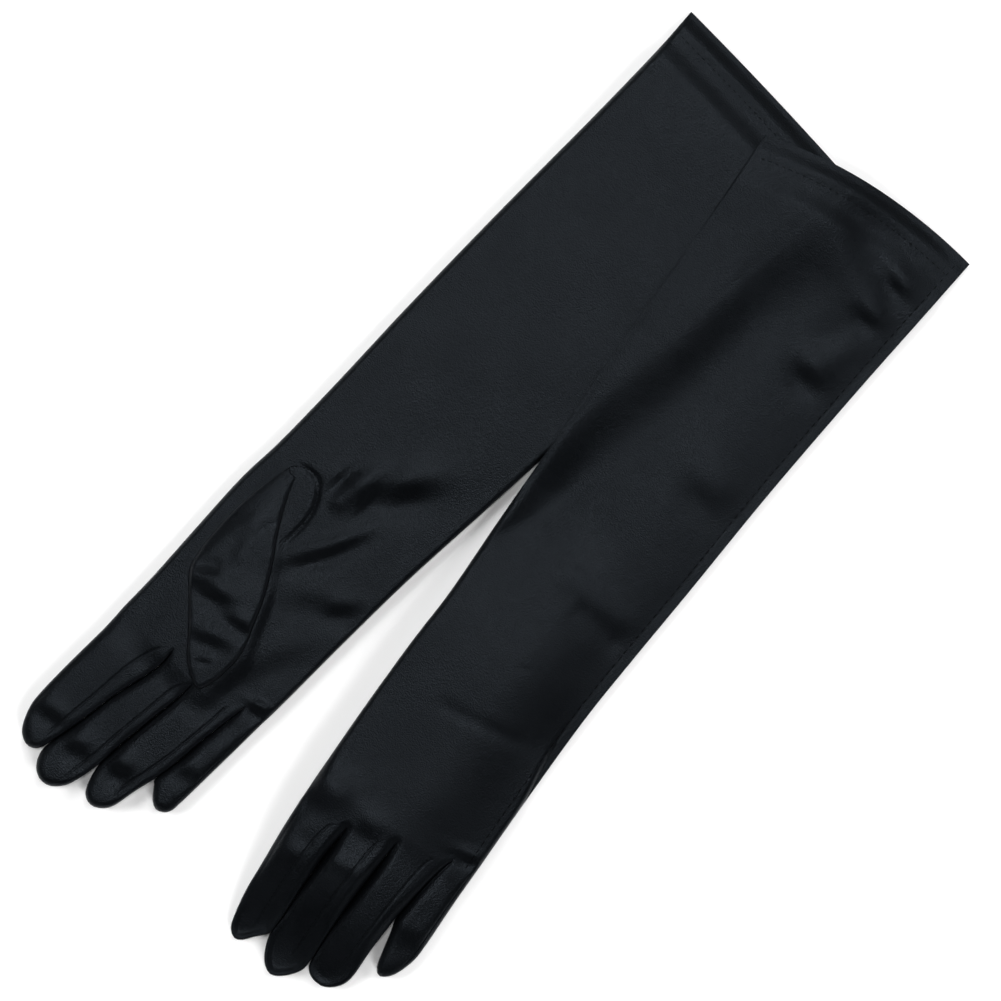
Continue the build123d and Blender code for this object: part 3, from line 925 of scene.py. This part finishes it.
def sewing(glove):
    """The threads that show: side seam, hem, thumb seam and the fingers' seams."""
    plan = glove.plan

    def just_inside(p):
        """The underside, drawn in a little so that its threads stay off the table."""
        return glove.underside(p) + 0.15

    # the side seam is on the back of the hand, and the thumb's seam on the palm
    seam_height, thumb_height = glove.cover, glove.underside
    seam_facing, thumb_facing = 1.0, -1.0
    if glove.palm_up:
        seam_height, thumb_height = just_inside, glove.cover
        seam_facing, thumb_facing = -1.0, 1.0
    side = [(u - SIDE_SEAM_INSET, v) for u, v in plan["seam"]]
    side[-1] = (side[-1][0], side[-1][1] - 3.0)
    across = np.linspace(plan["fold"][-1][0] + 4, plan["seam"][-1][0] - 4, 12)
    hem = np.column_stack([across, glove.cuff_edge(across) - HEM_ROW])
    threads = [
        sew(glove, "side_seam", [side], seam_height, SIDE_STITCH, seam_facing),
        sew(glove, "hem", [hem], glove.cover, HEM_STITCH),
        sew(glove, "thumb_seam", [PALM_SEAM], thumb_height, THUMB_STITCH, thumb_facing),
    ]
    for piece in threads:
        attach(piece, f"{glove.name}_glove")
    for number, finger in enumerate(FINGERS):
        paths = []
        if finger in plan["outer"]:
            paths.append([(u - 0.9, v) for u, v in plan["outer"][finger][1:]])
        if number > 0:
            paths.append([(u + FINGER_GAP + 2.6, v) for u, v in plan["creases"][number][1:5]])
        bend(glove, sew(glove, finger, paths, glove.cover, FINGER_STITCH), finger)


# ---- materials -------------------------------------------------------------------------------------
def set_inputs(node, values):
    """Sets some of a shader node's own inputs."""
    for name, value in values.items():
        node.inputs[name].default_value = value


def new_material(name, inputs):
    """A material with its shader's inputs set."""
    made = bpy.data.materials.new(name)
    made.use_nodes = True
    shader = made.node_tree.nodes["Principled BSDF"]
    set_inputs(shader, inputs)
    return made, shader


def woven(name, dark, light, roughness, specular, weave, bump_depth):
    """Cloth or thread: a fine diagonal weave under a grain, with slow changes of tone and gloss.

    weave is the scale of the diagonal lines. All scales are in cells per metre, and bump_depth is in metres.
    """
    cool_tint = (0.74, 0.86, 1.0, 1.0)
    made, shader = new_material(name, {"Specular IOR Level": specular, "Specular Tint": cool_tint})
    nodes, links = made.node_tree.nodes, made.node_tree.links
    place = nodes.new("ShaderNodeTexCoord")
    grain = nodes.new("ShaderNodeTexNoise")
    set_inputs(grain, {"Scale": 1500.0, "Detail": 2.0})
    patches = nodes.new("ShaderNodeTexNoise")
    set_inputs(patches, {"Scale": 45.0, "Detail": 3.0})
    twill = nodes.new("ShaderNodeTexWave")
    twill.wave_type = "BANDS"
    twill.bands_direction = "DIAGONAL"
    set_inputs(twill, {"Scale": weave, "Distortion": 2.5, "Detail": 2.0, "Detail Scale": 1.6})
    for texture in (grain, patches, twill):
        links.new(place.outputs["Object"], texture.inputs["Vector"])

    # the surface's height is mostly grain, with a little of the weave
    height = nodes.new("ShaderNodeMix")
    set_inputs(height, {"Factor": 0.07})
    links.new(grain.outputs["Fac"], height.inputs["A"])
    links.new(twill.outputs["Fac"], height.inputs["B"])
    bump = nodes.new("ShaderNodeBump")
    set_inputs(bump, {"Strength": 1.0, "Distance": bump_depth})
    links.new(height.outputs["Result"], bump.inputs["Height"])
    links.new(bump.outputs["Normal"], shader.inputs["Normal"])

    # its colour follows the same height and the slower patches
    mixed = nodes.new("ShaderNodeMix")
    set_inputs(mixed, {"Factor": 0.4})
    links.new(height.outputs["Result"], mixed.inputs["A"])
    links.new(patches.outputs["Fac"], mixed.inputs["B"])
    tone = nodes.new("ShaderNodeValToRGB")
    for stop, position, colour in zip(tone.color_ramp.elements, (0.3, 0.7), (dark, light)):
        stop.position = position
        stop.color = (*colour, 1)
    links.new(mixed.outputs["Result"], tone.inputs["Fac"])
    links.new(tone.outputs["Color"], shader.inputs["Base Color"])

    # its gloss follows the patches alone
    gloss = nodes.new("ShaderNodeMapRange")
    set_inputs(gloss, {"From Min": 0.3, "From Max": 0.7})
    set_inputs(gloss, {"To Min": roughness - 0.03, "To Max": roughness + 0.03})
    links.new(patches.outputs["Fac"], gloss.inputs["Value"])
    links.new(gloss.outputs["Result"], shader.inputs["Roughness"])
    return made


# ---- making ----------------------------------------------------------------------------------------
SATIN = woven(
    "black_satin",
    dark=(0.0004, 0.0005, 0.0007),
    light=(0.0016, 0.0019, 0.0024),
    roughness=0.37,
    specular=0.28,
    weave=1100.0,
    bump_depth=0.00024,
)
THREAD = woven(
    "black_thread",
    dark=(0.0004, 0.0005, 0.0006),
    light=(0.0014, 0.0016, 0.0019),
    roughness=0.6,
    specular=0.08,
    weave=900.0,
    bump_depth=0.00006,
)
RIGHT_GLOVE = Glove(RIGHT, RIGHT_FOLDS)
LEFT_GLOVE = Glove(LEFT, LEFT_FOLDS)
for one_glove in (RIGHT_GLOVE, LEFT_GLOVE):
    cloth_of_hand(one_glove)
    thumb_piece(one_glove)
    hem_piece(one_glove)
    sewing(one_glove)

for node in frame["nodes"].values():
    node.data.materials.clear()
    node.data.materials.append(SATIN)

# ---- stage, light and camera -----------------------------------------------------------------------
scene = bpy.context.scene
scene.view_settings.view_transform = "Standard"
bpy.ops.mesh.primitive_plane_add(size=6.0)
floor = bpy.context.object
floor.name = "floor"
floor_material, _ = new_material("pale_floor", {"Base Color": (0.9, 0.9, 0.9, 1), "Roughness": 0.9})
floor.data.materials.append(floor_material)

# The studio glows softly near the horizon and is nearly dark overhead.
world = bpy.data.worlds.new("studio")
scene.world = world
world.use_nodes = True
nodes, links = world.node_tree.nodes, world.node_tree.links
sky = nodes["Background"]
set_inputs(sky, {"Color": (1.0, 1.0, 1.0, 1.0)})
direction = nodes.new("ShaderNodeTexCoord")
height = nodes.new("ShaderNodeSeparateXYZ")
glow = nodes.new("ShaderNodeMapRange")
glow.interpolation_type = "SMOOTHSTEP"
set_inputs(glow, {"From Min": 0.2, "From Max": 0.62, "To Min": 0.42, "To Max": 0.003})
links.new(direction.outputs["Generated"], height.inputs["Vector"])
links.new(height.outputs["Z"], glow.inputs["Value"])
links.new(glow.outputs["Result"], sky.inputs["Strength"])


def softbox(name, direction, distance, size, power):
    """A square soft light at a distance from the gloves, facing them."""
    data = bpy.data.lights.new(name, "AREA")
    data.size = size
    data.energy = power
    lamp = bpy.data.objects.new(name, data)
    lamp.location = Vector(direction).normalized() * distance
    lamp.rotation_euler = (-lamp.location).to_track_quat("-Z", "Y").to_euler()
    scene.collection.objects.link(lamp)
    return lamp


# The key light overhead makes the sheen. The fills only lift the shadows and don't show in the satin.
softbox("key", (-0.08, 0.2, 1.0), distance=5.0, size=1.7, power=72.0)
for number, (x, y) in enumerate(((-1, -0.6), (1, -0.6), (-0.6, 1), (0.9, 0.9))):
    fill = softbox(f"fill_{number}", (x, y, 0.45), distance=2.6, size=1.2, power=62.0)
    fill.visible_glossy = False

# The camera looks straight down, turned so that the gloves lie across its view at a slant.
VIEW_WIDTH = 0.4575
VIEW_LEVEL = 0.004  # the view is that wide at this height over the table
VIEW_MIDDLE = (0.00225, 0.0029)
CAMERA_HEIGHT = 2.6
CAMERA_TURN = 39.5
camera_data = bpy.data.cameras.new("camera")
camera = bpy.data.objects.new("camera", camera_data)
scene.collection.objects.link(camera)
scene.camera = camera
camera_data.sensor_width = 36.0
camera_data.lens = camera_data.sensor_width * (CAMERA_HEIGHT - VIEW_LEVEL) / VIEW_WIDTH
camera.location = (*VIEW_MIDDLE, CAMERA_HEIGHT)
camera.rotation_euler = (0, 0, math.radians(CAMERA_TURN))
